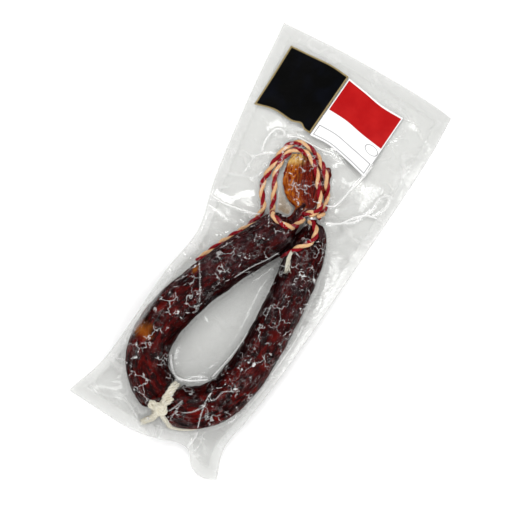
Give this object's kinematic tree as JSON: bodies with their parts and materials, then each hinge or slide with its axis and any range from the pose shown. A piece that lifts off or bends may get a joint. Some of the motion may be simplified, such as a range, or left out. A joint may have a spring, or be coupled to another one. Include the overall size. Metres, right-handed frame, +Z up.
{
  "type": "vacuum-packed cured sausage",
  "caption": "Horseshoe-shaped cured sausage tied with twine and string, vacuum-sealed in a clear flat pouch with blank labels above it.",
  "frame": {"origin": "centre of the pouch's outline, in the plane that the back film rests on", "axes": "+Y along the pouch's long side towards the labels, +X across the pouch, +Z up from the surface it lies on"},
  "size_m": [0.1591, 0.3592, 0.0405],
  "materials": {
    "cured_meat": "dry natural casing over dark red coarse meat, mottled, with a faint bloom; amber and translucent where the casing is empty",
    "clip_metal": "soft crimped metal",
    "red_white_twine": "two-ply twisted cotton twine, one ply red and one cream",
    "cotton_string": "undyed twisted cotton, slightly stained",
    "clear_film": "clear glossy plastic film, drawn tight and creased",
    "black_label": "glossy black sticker with a thin gold border",
    "white_label": "satin white sticker with a red panel"
  },
  "bodies": {
    "root": {"sausage": "cured_meat", "neck_clip": "clip_metal", "hanging_twine": "red_white_twine", "binding_twine": "red_white_twine", "waist_string": "cotton_string", "pouch_front_film": "clear_film", "pouch_back_film": "clear_film", "front_label": "black_label", "data_label": "white_label"}
  },
  "joints": []
}
